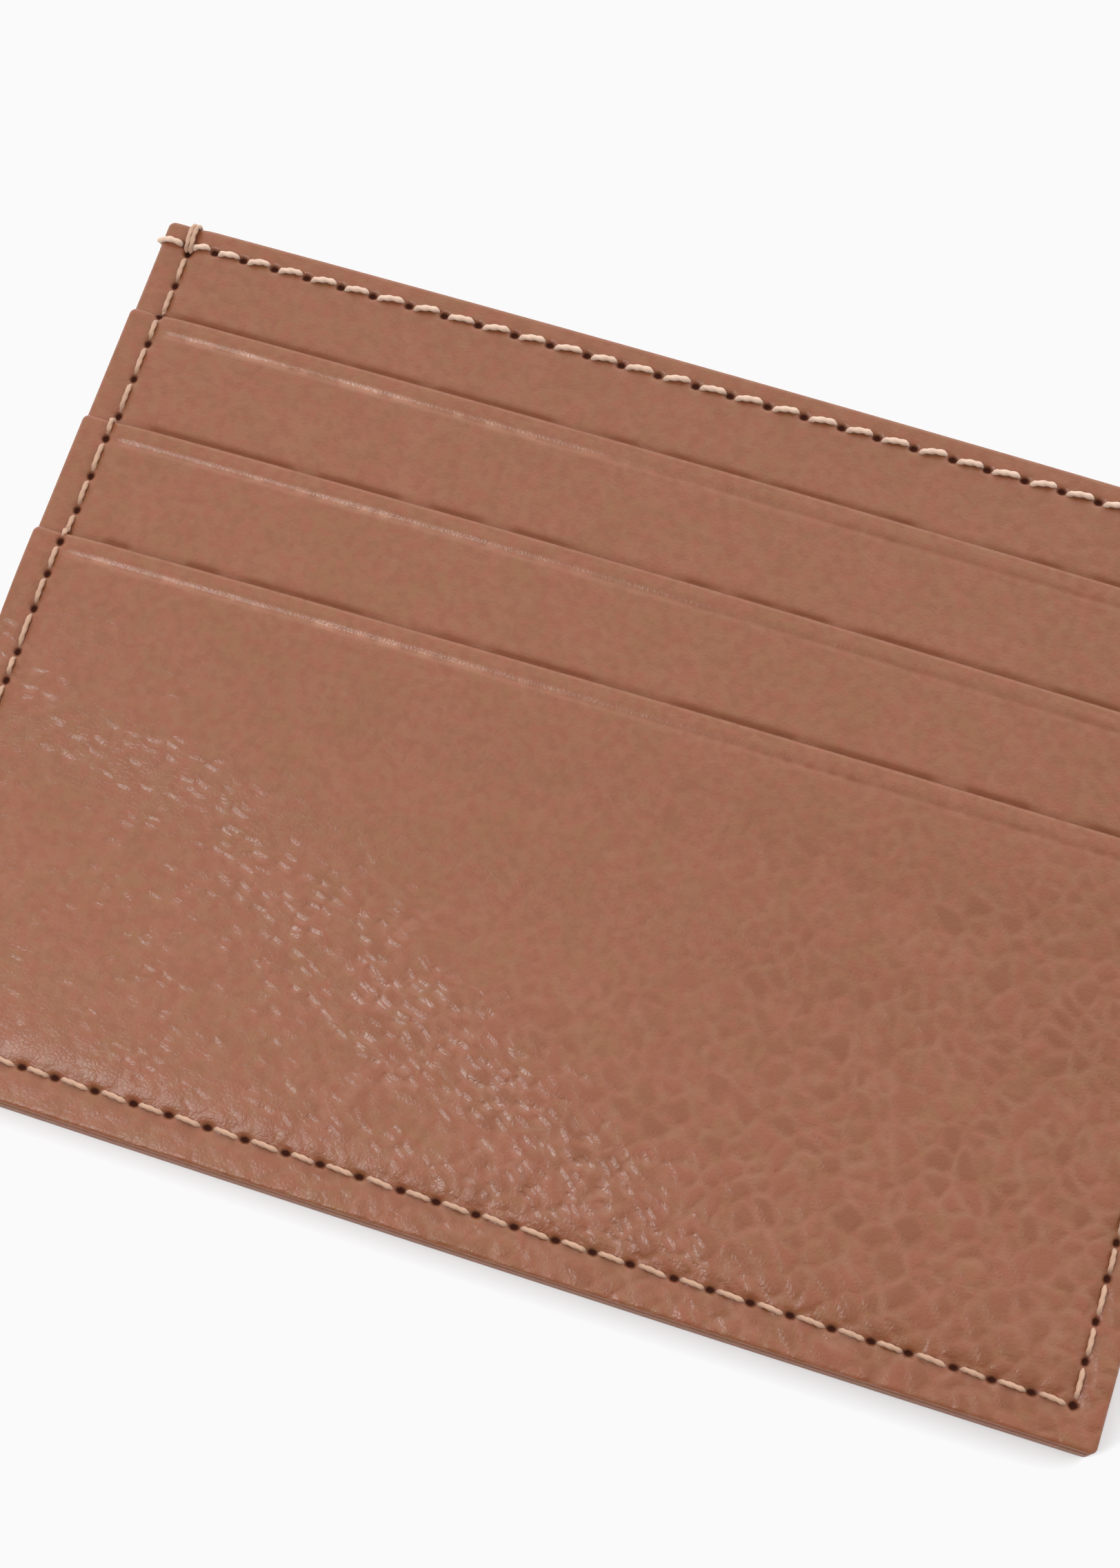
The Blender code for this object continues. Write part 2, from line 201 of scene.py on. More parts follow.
def slot_shift(x, y, number):
    """Shift along Y of a slot's leather near its upper edge."""
    if number == 0:
        return 0.0 * x
    near = smooth(1.0 - (SLOT_EDGES[number - 1] - y) / STRAY_LENGTH)
    return stray(x, SLOT_STRAYS[number - 1]) * near


def outline_shift(x, y):
    """Shift along Y that the whole holder shares near its top and bottom edges."""
    up = np.clip(y / TOP_Y, 0.0, 1.0) ** 2
    down = np.clip(y / BOTTOM_Y, 0.0, 1.0) ** 2
    return stray(x, TOP_STRAY) * up + stray(x, BOTTOM_STRAY) * down


# ---------------------------------------------------------------- heights of the plies

def settled(y, number):
    """Share of its thickness that a strip still lifts the plies above it by, past its end."""
    past_end = STRIP_ENDS[number - 1] - y
    return 1.0 - (1.0 - SETTLED_SHARE) * smooth(past_end / SETTLE_LENGTH)


def ply_top(y, number):
    """Top of the flat ply: 0 is the base panel, 1 to 3 the slots' leathers."""
    height = BASE_TOP + number * SLOT_STEP + 0.0 * y
    for below in range(1, number):
        height = height - LEATHER * (1.0 - settled(y, below))
    return height


def side_inset(x):
    """Distance in from the nearer side edge."""
    return RIGHT_X - np.abs(x)


def near_seam(inset):
    """1 over the outer 1.5 mm, falling to 0 at 6.5 mm in from the edge."""
    return smooth(1.0 - (inset - 1.5 * MM) / (5 * MM))


def edge_slope(x, y):
    """How the face falls away over its last millimetres towards the sides and the bottom."""
    side = smooth(1.0 - side_inset(x) / (4.5 * MM))
    bottom = smooth(1.0 - (y - BOTTOM_Y) / (7.0 * MM))
    return 0.10 * MM * side + 0.42 * MM * bottom


def pocket_swell(x, y):
    """The big pocket's soft, uneven swell, and the shallow fold that runs down across it."""
    inside = smooth(side_inset(x) / (14 * MM)) * smooth((y - BOTTOM_Y) / (14 * MM))
    inside = inside * smooth((SLOT_EDGES[2] - y) / (12 * MM))
    broad = value_noise(x, y, 26 * MM, 41) - 0.4
    across = fold_offset(x, y)
    fold = bell(across - 1.5 * MM, 6 * MM) - 0.8 * bell(across + 6 * MM, 7 * MM)
    return inside * (0.30 * MM * broad + 0.16 * MM * fold)


def fold_offset(x, y):
    """Distance from the line of the fold, from the left edge's middle to the lower right."""
    angle = math.radians(-26.0)
    return -(x + 36 * MM) * math.sin(angle) + (y + 6.5 * MM) * math.cos(angle)


def channel(x, y):
    """0 to 1: how far the leather is drawn down along the perimeter seam."""
    side = bell(np.abs(x) - SEAM_X, 0.75 * MM) * smooth((y - BOTTOM_SEAM_Y) / MM + 1.0)
    bottom = bell(y - BOTTOM_SEAM_Y, 0.75 * MM) * smooth((SEAM_X - np.abs(x)) / MM + 1.0)
    return np.maximum(side, bottom)


def wobble(k, seed):
    """A small repeatable unevenness from -1 to 1."""
    return math.sin(12.9898 * k + 78.233 * seed) * math.cos(4.1 * k + seed)


def stitch_line(start, end):
    """Needle holes along a straight seam."""
    length = math.hypot(end[0] - start[0], end[1] - start[1])
    count = max(1, round(length / PITCH))
    return [(start[0] + (end[0] - start[0]) * k / count,
             start[1] + (end[1] - start[1]) * k / count) for k in range(count + 1)]


def uneven(holes, amount, seed):
    """Moves a seam's inner holes a little along it."""
    moved = [holes[0]]
    for k in range(1, len(holes) - 1):
        here, after = holes[k], holes[k + 1]
        share = amount * wobble(k, seed)
        moved.append((here[0] + (after[0] - here[0]) * share,
                      here[1] + (after[1] - here[1]) * share))
    return moved + [holes[-1]]


def perimeter_holes():
    """The needle holes down the left side, along the bottom and up the right side."""
    left = stitch_line((-SEAM_X, FIRST_HOLE_Y), (-SEAM_X, BOTTOM_SEAM_Y))
    bottom = stitch_line((-SEAM_X, BOTTOM_SEAM_Y), (SEAM_X, BOTTOM_SEAM_Y))
    right = stitch_line((SEAM_X, BOTTOM_SEAM_Y), (SEAM_X, FIRST_HOLE_Y))
    return uneven(left, 0.13, 1), uneven(bottom, 0.07, 2), uneven(right, 0.13, 3)


def hem_holes(y):
    """Holes along a top edge. The stitches are shorter towards both ends of the seam."""
    reach = RIGHT_X - HEM_END_INSET
    x = np.linspace(-reach, reach, 400)
    pitch = HEM_PITCH - (HEM_PITCH - HEM_END_PITCH) * np.exp(-(reach - np.abs(x)) / (8 * MM))
    stitches = np.concatenate([[0.0], np.cumsum(np.diff(x) / pitch[1:])])
    count = round(stitches[-1])
    places = np.interp(np.arange(count + 1) * stitches[-1] / count, stitches, x)
    return uneven([(float(place), y) for place in places], 0.04, 4)


def hole_field(x, y, holes, along, across):
    """The holes' dimples: `along` and `across` are half widths along X and Y."""
    field = np.zeros(np.shape(x))
    for hx, hy in holes:
        near = (np.abs(x - hx) < 3 * along) & (np.abs(y - hy) < 3 * across)
        if near.any():
            dimple = bell(x[near] - hx, along) * bell(y[near] - hy, across)
            field[near] = np.maximum(field[near], dimple)
    return field


LEFT_HOLES, BOTTOM_HOLES, RIGHT_HOLES = perimeter_holes()
FRONT_HEM_HOLES = hem_holes(FRONT_HEM_Y)
BACK_HEM_HOLES = hem_holes(BACK_HEM_Y)


# ---------------------------------------------------------------- grain

def grain(x, y, strength, seed):
    """Pebbled grain: its height, how far in on its pebble each point is, and the pebble's tone."""
    warp_x = (layered_noise(x, y, 4.0 * MM, seed + 11, 4) - 0.5) * 2.6 * MM
    warp_y = (layered_noise(x, y, 4.0 * MM, seed + 15, 4) - 0.5) * 2.6 * MM
    angle = math.radians(-50.0)
    u = (x + warp_x) * math.cos(angle) + (y + warp_y) * math.sin(angle)
    v = (y + warp_y) * math.cos(angle) - (x + warp_x) * math.sin(angle)
    inside, tone = cells(0.94 * u, 1.08 * v, PEBBLE, seed)
    pebble = smooth(inside / 0.30)
    height = strength * 0.045 * MM * (np.sqrt(np.clip(inside / 0.40, 0.0, 1.0)) - 0.8)
    folds = np.abs(layered_noise(0.3 * u, 1.4 * v, 1.7 * MM, seed + 21, 2) - 0.5)
    crossing = bell(fold_offset(x, y), 8 * MM) * np.clip(strength, 0, 1)
    height = height - crossing * 0.04 * MM * smooth(1.0 - folds / 0.045)
    return height, pebble, tone


def grain_strength(x, y, number):
    """How deep the grain is: the strips are smooth, and the big pocket is pebbled, most of all
    at its lower right and along its fold."""
    if number < 3:
        return 0.12 + 0.34 * smooth((x + 10 * MM) / (60 * MM))
    diagonal = x / RIGHT_X + y / BOTTOM_Y
    fold = bell(fold_offset(x, y) + 2 * MM, 7 * MM)
    patchy = 0.80 + 0.4 * value_noise(x, y, 8 * MM, 61)
    flattened = 1.0 - 0.4 * bell(y - SLOT_EDGES[2], 4 * MM)
    return (0.20 + 0.85 * smooth((diagonal + 0.4) / 2.0) + 0.20 * fold) * patchy * flattened


def fleck_strength(x, y, number):
    """Where the surface has short dents: along and below the big pocket's fold."""
    if number < 3:
        return 0.25 * smooth(value_noise(x, y, 5 * MM, 71 + number) / 0.8)
    below = smooth((9 * MM - fold_offset(x, y)) / (13 * MM))
    along = 0.42 + 0.58 * bell(fold_offset(x, y), 6 * MM)
    rising = 0.70 + 1.10 * smooth((x + 40 * MM) / (44 * MM))
    fading = 1.0 - 0.80 * smooth((x - 19 * MM) / (24 * MM))
    patchy = 0.60 + 0.40 * smooth(value_noise(x, y, 5 * MM, 75) / 0.6)
    inside_seam = 0.50 + 0.50 * smooth((y - BOTTOM_SEAM_Y) / (2 * MM))
    return (0.20 + 0.80 * below * along * rising * fading) * patchy * inside_seam


# ---------------------------------------------------------------- mesh building

def lines(low, high, fine_zones, coarse):
    """Grid positions: (from, to, step) zones are fine, the rest has the coarse step."""
    stops = {low, high}
    for start, end, step in fine_zones:
        start, end = max(start, low), min(end, high)
        if end > start:
            count = max(1, math.ceil((end - start) / step))
            stops.update(start + (end - start) * k / count for k in range(count + 1))
    ordered = sorted(stops)
    filled = [ordered[0]]
    for stop in ordered[1:]:
        gap = stop - filled[-1]
        if gap < 0.3 * SEAM_FINE and stop != high:
            continue
        pieces = max(1, math.ceil(gap / coarse - 0.01))
        start = filled[-1]
        filled += [start + gap * k / pieces for k in range(1, pieces + 1)]
    return filled


def rim_offsets(reach):
    """Distances in from an edge that follow a round edge of that reach closely."""
    steps = 7
    return [reach * (1 - math.cos(math.pi / 2 * k / steps)) for k in range(steps + 1)]


def with_rims(inner, low, high, reach):
    """Grid positions with close lines along both edges, where the edge is round."""
    offsets = rim_offsets(reach)
    inner = [value for value in inner if low + reach * 1.05 < value < high - reach * 1.05]
    return np.array([low + o for o in offsets] + inner + [high - o for o in reversed(offsets)])


def round_corners(x, y, box, radius):
    """Moves grid points so that the sheet's corners are round. Gives the distance from the edge."""
    low_x, high_x, low_y, high_y = box
    dx = np.minimum(x - low_x, high_x - x)
    dy = np.minimum(y - low_y, high_y - y)
    u = np.clip(1.0 - dx / radius, 0.0, 1.0)
    v = np.clip(1.0 - dy / radius, 0.0, 1.0)
    corner = (u > 0) & (v > 0)
    disc_u = u * np.sqrt(1.0 - v * v / 2.0)
    disc_v = v * np.sqrt(1.0 - u * u / 2.0)
    left = (x - low_x) < (high_x - x)
    below = (y - low_y) < (high_y - y)
    corner_x = np.where(left, low_x + radius * (1 - disc_u), high_x - radius * (1 - disc_u))
    corner_y = np.where(below, low_y + radius * (1 - disc_v), high_y - radius * (1 - disc_v))
    new_x = np.where(corner, corner_x, x)
    new_y = np.where(corner, corner_y, y)
    inset = np.where(corner, radius * (1.0 - np.hypot(disc_u, disc_v)), np.minimum(dx, dy))
    return new_x, new_y, np.maximum(inset, 0.0)


def make_sheet(name, columns, rows, box, corner, reach, shift, top, bottom, layers, flip=False):
    """A closed leather or cloth sheet on a grid of columns and rows inside box.

    shift moves points along Y, top and bottom give the faces' heights at the moved points, and
    layers gives the relief and the point layers. flip builds the sheet face down.
    """
    grid_x, grid_y = np.meshgrid(columns, rows, indexing="ij")
    nx, ny = grid_x.shape
    x, straight_y, inset = round_corners(grid_x, grid_y, box, corner)
    y = straight_y + shift(x, straight_y)
    share = np.clip(inset / reach, 0.0, 1.0)
    roundness = np.sqrt(np.clip(1.0 - (1.0 - share) ** 2, 0.0, 1.0))
    face, under = top(x, y), bottom(x, y)
    relief, values = layers(x, y, straight_y)
    middle, half = (face + under) / 2, (face - under) / 2
    z = middle + half * roundness + relief * smooth(roundness)
    under_z = middle - half * roundness

    keep = [k for k in range(nx) if k < 8 or k >= nx - 8 or k % max(1, nx // 24) == 0]
    top_index = np.arange(nx * ny).reshape(nx, ny)
    border = np.zeros((nx, ny), bool)
    border[0, :] = border[-1, :] = border[:, 0] = border[:, -1] = True
    inner = np.zeros((nx, ny), bool)
    inner[keep, :] = True
    inner &= ~border
    under_index = np.full((nx, ny), -1)
    under_index[border] = top_index[border]
    under_index[inner] = nx * ny + np.arange(inner.sum())
    points = np.concatenate([np.stack([x.ravel(), y.ravel(), z.ravel()], axis=1),
                             np.stack([x[inner], y[inner], under_z[inner]], axis=1)])

    a, b = top_index[:-1, :-1].ravel(), top_index[1:, :-1].ravel()
    c, d = top_index[1:, 1:].ravel(), top_index[:-1, 1:].ravel()
    faces = np.stack([a, b, c, d], axis=1).tolist()
    for left, right in zip(keep[:-1], keep[1:]):
        for j in range(ny - 1):
            low_run = [under_index[left, j], under_index[right, j]]
            high_run = [under_index[right, j + 1], under_index[left, j + 1]]
            if j == 0:
                low_run = top_index[left:right + 1, 0].tolist()
            if j == ny - 2:
                high_run = top_index[left:right + 1, ny - 1][::-1].tolist()
            faces.append([int(k) for k in reversed(low_run + high_run)])
    if flip:
        points[:, 2] *= -1
        faces = [corners[::-1] for corners in faces]
    layer_values = {key: np.broadcast_to(value, x.shape).ravel() for key, value in values.items()}
    return new_object(name, points, faces, layer_values)


def new_object(name, points, faces, layers=None):
    """A smooth mesh object from points and faces, with the outline's own bow."""
    points = np.array(points)
    points[:, 1] += outline_shift(points[:, 0], points[:, 1])
    mesh = bpy.data.meshes.new(name)
    mesh.from_pydata(points.tolist(), [], faces)
    mesh.validate()
    for key, layer in (layers or {}).items():
        attribute = mesh.attributes.new(key, "FLOAT", "POINT")
        whole = np.zeros(len(points), np.float32)
        whole[:len(layer)] = layer
        attribute.data.foreach_set("value", whole)
    mesh.shade_smooth()
    piece = bpy.data.objects.new(name, mesh)
    bpy.context.scene.collection.objects.link(piece)
    return piece


def seam_zones_x():
    """Fine zones of columns along the side seams."""
    return [(side * SEAM_X - 1.1 * MM, side * SEAM_X + 1.1 * MM, SEAM_FINE) for side in (-1, 1)]


# ---------------------------------------------------------------- the leather sheets

def seam_marks(x, y, hem):
    """Depth of the needle holes of the seams that cross the front, and how much shade is painted
    into them.
    """
    sides = hole_field(x, y, LEFT_HOLES + RIGHT_HOLES, 0.30 * MM, 0.36 * MM)
    bottom = hole_field(x, y, BOTTOM_HOLES, 0.42 * MM, 0.27 * MM)
    marks = np.maximum(sides, bottom)
    if hem:
        marks = np.maximum(marks, hole_field(x, y, FRONT_HEM_HOLES, 0.40 * MM, 0.30 * MM))
    return marks


def front_face(x, y, number):
    """Height of a front ply's face, without its grain."""
    height = ply_top(y, number) - edge_slope(x, y)
    if number == 3:
        height = height + pocket_swell(x, y)
    return height - 0.20 * MM * channel(x, y)


def crease_relief(x, straight_y, number):
    """The pressed line under a slot's edge: its relief, the painted highlight along it towards the
    left, and the painted shade in it towards the right.
    """
    crease = straight_y - (SLOT_EDGES[number - 1] - CREASE_INSET)
    between = smooth((side_inset(x) - 2.9 * MM) / (1.2 * MM))
    fading = smooth((x + 25 * MM) / (45 * MM))
    level = np.zeros(np.shape(x))
    waver = value_noise(x, level, 3.0 * MM, 70 + number)
    beads = value_noise(x, level, 0.9 * MM, 80 + number)
    deep = between * (0.75 + 0.5 * waver) * (1.0 - 0.55 * fading)
    relief = -0.140 * MM * deep * bell(crease, 0.27 * MM)
    relief = relief + 0.03 * MM * between * bell(crease - 0.75 * MM, 0.45 * MM)
    beaded = 0.35 + 0.65 * smooth((beads - 0.3) / 0.5)
    # Painted highlight along the crease, broken into beads, towards the left.
    worn = deep * (1.0 - fading) * beaded * bell(crease - 0.12 * MM, 0.26 * MM)
    spots = smooth((beads - 0.35) / 0.5) * smooth((waver - 0.3) / 0.5)
    # Painted shade in the crease, in spots, towards the right.
    dark = between * fading * (0.25 + 0.75 * spots) * bell(crease, 0.22 * MM)
    return relief, worn, dark


def front_layers(number):
    """Relief and point layers of a front ply."""
    def layers(x, y, straight_y):
        strength = grain_strength(x, y, number)
        relief, pebble, tone = grain(x, y, strength, 100 + 10 * number)
        marks = seam_marks(x, y, number == 0)
        relief = relief - 0.45 * MM * marks
        worn = shade = np.zeros(np.shape(x))
        if number:
            pressed, worn, shade = crease_relief(x, straight_y, number)
            relief = relief + pressed
            # The crease's painted shade, at about a third of its strength.
            shade = 0.35 * shade
        else:
            relief = relief - 0.07 * MM * bell(y - FRONT_HEM_Y, 0.6 * MM)
        # Painted shade on this ply just above the edge of the slot leather lying on it, where that
        # edge's shade falls, broken into strokes.
        if number < 3:
            mouth = SLOT_EDGES[number] + stray(x, SLOT_STRAYS[number])
            broken = smooth((value_noise(x, 0.3 * y, 2.4 * MM, 90 + number) - 0.22) / 0.42)
            mouth_shade = bell(y - mouth - 0.42 * MM, 0.34 * MM) * (0.30 + 0.75 * broken)
            shade = np.maximum(shade, 0.72 * mouth_shade * smooth((side_inset(x) - 2.0 * MM) / (3 * MM)))
        # The needle holes' marks also set where shade is painted into them.
        values = {"pebble": pebble, "deep": strength, "tone": tone, "hole": marks,
                  "worn": worn, "shade": shade, "fleck": fleck_strength(x, y, number)}
        return relief, values
    return layers


def make_front_ply(name, number, visible_low):
    """One front leather: its face is fine where it shows and coarse where it is covered."""
    low = BOTTOM_Y if number in (0, 3) else STRIP_ENDS[number - 1]
    high = TOP_Y if number == 0 else SLOT_EDGES[number - 1]
    reach = 0.42 * MM
    columns = lines(-RIGHT_X, RIGHT_X, [(-RIGHT_X, RIGHT_X, FINE)] + seam_zones_x(), FINE)
    row_zones = [(visible_low, high, FINE)]
    if number == 0:
        row_zones.append((FRONT_HEM_Y - MM, FRONT_HEM_Y + MM, SEAM_FINE))
    else:
        row_zones.append((high - 2.3 * MM, high - 1.3 * MM, 0.75 * SEAM_FINE))
        row_zones.append((high - 1.3 * MM, high, 1.2 * SEAM_FINE))
    if number == 3:
        row_zones.append((BOTTOM_SEAM_Y - MM, BOTTOM_SEAM_Y + MM, SEAM_FINE))
    rows = lines(low, high, row_zones, HIDDEN_STEP)
    columns = with_rims(columns, -RIGHT_X, RIGHT_X, reach)
    rows = with_rims(rows, low, high, reach)

    def bottom(x, y):
        """Open under a slot's mouth. Along the seams it closes to the level of the ply below, and
        keeps that level where that ply, a strip, has ended."""
        below = front_face(x, y, number - 1) if number else np.full(np.shape(x), HALVES_MEET)
        closed = below + CONTACT_GAP
        opened = front_face(x, y, number) - (LEATHER if number else BASE_LEATHER)
        at_bottom = near_seam(y - BOTTOM_Y) if low == BOTTOM_Y else 0.0
        pinch = np.maximum(near_seam(side_inset(x)), at_bottom)
        if number == 0:
            pinch = pinch * smooth((TOP_Y - y) / (5 * MM))
        return opened + (np.minimum(closed, opened) - opened) * pinch

    return make_sheet(name, columns, rows, (-RIGHT_X, RIGHT_X, low, high), CORNER, reach,
                      lambda x, y: slot_shift(x, y, number),
                      lambda x, y: front_face(x, y, number), bottom, front_layers(number))


def make_back_panel():
    """The back half's leather, built face up and then turned over."""
    reach = 0.45 * MM
    fine = 2 * FINE
    columns = lines(-RIGHT_X, RIGHT_X, seam_zones_x(), fine)
    rows = lines(BOTTOM_Y, TOP_Y, [
        (BOTTOM_SEAM_Y - MM, BOTTOM_SEAM_Y + MM, SEAM_FINE),
        (BACK_HEM_Y - MM, BACK_HEM_Y + MM, SEAM_FINE)], fine)
    columns = with_rims(columns, -RIGHT_X, RIGHT_X, reach)
    rows = with_rims(rows, BOTTOM_Y, TOP_Y, reach)

    def outer(x, y):
        return -0.06 * MM - 0.22 * MM * channel(x, y)

    def inner(x, y):
        pinch = np.maximum(near_seam(side_inset(x)), near_seam(y - BOTTOM_Y))
        pinch = pinch * smooth((TOP_Y - y) / (5 * MM))
        return -BACK_INSIDE - (HALVES_MEET - CONTACT_GAP - BACK_INSIDE) * pinch

    def layers(x, y, straight_y):
        strength = 0.75 + 0.0 * x
        relief, pebble, tone = grain(x, y, strength, 300)
        sides = hole_field(x, y, LEFT_HOLES + RIGHT_HOLES, 0.30 * MM, 0.36 * MM)
        across = BOTTOM_HOLES + BACK_HEM_HOLES
        marks = np.maximum(sides, hole_field(x, y, across, 0.42 * MM, 0.27 * MM))
        relief = relief - 0.30 * MM * marks - 0.10 * MM * bell(y - BACK_HEM_Y, 0.6 * MM)
        # The needle holes' marks also set where shade is painted into them.
        values = {"pebble": pebble, "deep": strength, "tone": tone, "hole": marks}
        return np.minimum(relief, 0.05 * MM), values

    return make_sheet("back_leather", columns, rows, (-RIGHT_X, RIGHT_X, BOTTOM_Y, TOP_Y),
                      CORNER, reach, lambda x, y: 0.0 * x, outer, inner, layers, flip=True)


# ---------------------------------------------------------------- stitches

def thread_mesh(routes, radius):
    """Points and faces of twisted two-ply threads along routes, each a list of points."""
    sides = 14
    points, faces = [], []
    for route in routes:
        route = np.array(route)
        steps = np.gradient(route, axis=0)
        tangents = steps / np.linalg.norm(steps, axis=1)[:, None]
        travelled = np.concatenate([[0], np.cumsum(np.linalg.norm(np.diff(route, axis=0), axis=1))])
        guide = np.cross(tangents[0], (0.31, 0.52, 0.80))
        guide /= np.linalg.norm(guide)
        first = len(points)
        count = len(route)
        for k in range(count):
            guide = guide - tangents[k] * guide.dot(tangents[k])
            guide /= np.linalg.norm(guide)
            other = np.cross(tangents[k], guide)
            closing = min(1.0, 0.35 + 0.9 * min(k, count - 1 - k) / 2.0)
            twist = 2 * math.pi * travelled[k] / TWIST_LENGTH
            for s in range(sides):
                angle = 2 * math.pi * s / sides
                lobe = 0.80 + 0.28 * abs(math.cos(angle - twist)) ** 1.5
                reach = radius * lobe * closing
                points.append(route[k] + reach * (guide * math.cos(angle) + other * math.sin(angle)))
        for k in range(count - 1):
            for s in range(sides):
                n = (s + 1) % sides
                a, b = first + k * sides + s, first + k * sides + n
                faces.append([a, b, b + sides, a + sides])
        faces.append([first + s for s in reversed(range(sides))])
        last = first + (count - 1) * sides
        faces.append([last + s for s in range(sides)])
    return points, faces


def make_thread(name, routes, radius):
    """One piece of all the stitches along routes."""
    return new_object(name, *thread_mesh(routes, radius))


def stitch_route(start, end, face, radius, trim, crown, bow, slant, sink, side=1):
    """One stitch between two holes: out of one, over the leather and down into the next."""
    start, end = np.array(start), np.array(end)
    along = end - start
    length = np.linalg.norm(along)
    along = along / length
    across = np.array([-along[1], along[0]])
    route = []
    steps = 13
    for k in range(steps):
        t = k / (steps - 1)
        arch = math.sin(math.pi * t)
        plan = start + along * (trim + (length - 2 * trim) * t)
        plan = plan + across * (bow * arch + slant * (t - 0.5))
        dive = sink * (1 - min(1.0, 4.0 * t)) ** 2 + sink * (1 - min(1.0, 4.0 * (1 - t))) ** 2
        height = face(plan[0], plan[1]) + side * (radius * 0.55 + crown * arch ** 0.7 - dive)
        route.append((plan[0], plan[1], height))
    return route


def uppermost(x, y):
    """Number of the leather that lies on top at a place."""
    for number in (3, 2, 1):
        if y < SLOT_EDGES[number - 1] + stray(x, SLOT_STRAYS[number - 1]):
            return number
    return 0


def seam_face(x, y):
    """Height of the front leather under a side stitch, eased over the slots' edges."""
    heights = []
    for offset in (-0.35, 0.0, 0.35):
        at = y + offset * MM
        heights.append(float(front_face(np.float64(x), np.float64(at), uppermost(x, at))))
    return max(heights) * 0.6 + heights[1] * 0.4


def base_face(x, y):
    """Height of the base leather under the front hem's stitches."""
    return float(front_face(np.float64(x), np.float64(y), 0)) - 0.05 * MM


def back_face(x, y):
    """Height of the back leather's face under its stitches, in the seam's channel."""
    return 0.30 * MM


def seam_routes(holes, face, radius, trim, crown, bow, slant, seed, side=1):
    """Routes of all the stitches of one seam, no two quite alike."""
    routes = []
    for k, (start, end) in enumerate(zip(holes[:-1], holes[1:])):
        jitter = wobble(k, seed)
        routes.append(stitch_route(start, end, face, radius, trim * (1 + 0.15 * jitter),
                                   crown * (1 + 0.2 * jitter), bow * (1 + 0.3 * jitter),
                                   slant * (1 + 0.4 * jitter), 0.40 * MM, side))
    return routes


def wrap_route(points):
    """A smooth route through a few points, for a stitch that passes over an edge."""
    points = np.array(points)
    route = []
    count = len(points)
    for k in range(count - 1):
        before = points[max(k - 1, 0)]
        after = points[min(k + 2, count - 1)]
        a, b = points[k], points[k + 1]
        for step in range(5):
            t = step / 5
            route.append(tuple(0.5 * ((2 * a) + (b - before) * t
                                      + (2 * before - 5 * a + 4 * b - after) * t * t
                                      + (3 * a - before - 3 * b + after) * t ** 3)))
    route.append(tuple(points[-1]))
    return route


def top_wrap(side, radius, beside):
    """The side seam's first stitch, sewn twice: over the top edge of both halves."""
    x = side * SEAM_X + beside
    over_x = x + side * 0.1 * MM
    out_y = TOP_Y + 0.75 * radius
    return wrap_route([
        (x, FIRST_HOLE_Y + 0.1 * MM, BASE_TOP - 0.35 * MM),
        (x, FIRST_HOLE_Y + 0.5 * MM, BASE_TOP + 0.9 * radius),
        (over_x, TOP_Y - 1.1 * MM, BASE_TOP + 1.6 * radius),
        (over_x, TOP_Y - 0.25 * MM, BASE_TOP + 0.9 * radius),
        (over_x, out_y, BASE_TOP - 0.45 * MM),
        (over_x, out_y, BASE_TOP / 2),
        (over_x, out_y, 0.55 * MM),
        (x, TOP_Y - 0.5 * MM, 0.22 * MM),
        (x, FIRST_HOLE_Y + 0.2 * MM, 0.30 * MM)])


def hem_wrap(side, radius, y, top_z, inner_z, sign=1):
    """A hem seam's end stitch: round the side edge of its own half."""
    out_x = side * (RIGHT_X + 0.75 * radius)
    in_x = side * (RIGHT_X - 1.75 * MM)
    y = y - 0.05 * MM
    return wrap_route([
        (in_x, y, top_z - sign * 0.35 * MM),
        (in_x + side * 0.3 * MM, y, top_z + sign * 0.7 * radius),
        (side * (RIGHT_X - 0.7 * MM), y, top_z + sign * 1.1 * radius),
        (out_x, y, top_z - sign * 0.35 * MM),
        (out_x, y, (top_z + inner_z) / 2),
        (side * (RIGHT_X - 0.2 * MM), y, inner_z)])


def make_side_stitches():
    """The seam down the left side, along the bottom and up the right side, front and back."""
    radius = SIDE_THREAD
    routes = []
    side_style = dict(radius=radius, trim=0.46 * MM, crown=0.10 * MM, bow=0.0, slant=0.05 * MM)
    bottom_style = dict(radius=radius, trim=0.50 * MM, crown=0.04 * MM,
                        bow=0.03 * MM, slant=-0.16 * MM)
    routes += seam_routes(LEFT_HOLES, seam_face, seed=1, **side_style)
    routes += seam_routes(RIGHT_HOLES, seam_face, seed=2, **side_style)
    routes += seam_routes(BOTTOM_HOLES, seam_face, seed=3, **bottom_style)
    for holes in (LEFT_HOLES, RIGHT_HOLES, BOTTOM_HOLES):
        routes += seam_routes(holes, back_face, seed=4, side=-1, radius=radius * 0.8,
                              trim=0.36 * MM, crown=0.02 * MM, bow=0.0, slant=0.08 * MM)
    routes += [top_wrap(side, radius, beside * radius) for side in (-1, 1) for beside in (-0.9, 0.9)]
    return make_thread("side_and_bottom_stitches", routes, radius)


def make_front_hem_stitches():
    """The thick, pale seam along the front half's top edge."""
    radius = FRONT_HEM_THREAD
    routes = seam_routes(FRONT_HEM_HOLES, base_face, radius=radius, trim=0.44 * MM,
                         crown=0.13 * MM, bow=0.05 * MM, slant=0.36 * MM, seed=5)
    inner_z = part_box("centre_lining_front")[0].z - 0.02 * MM
    routes += [hem_wrap(side, radius, FRONT_HEM_Y, BASE_TOP, inner_z) for side in (-1, 1)]
    return make_thread("front_hem_stitches", routes, radius)


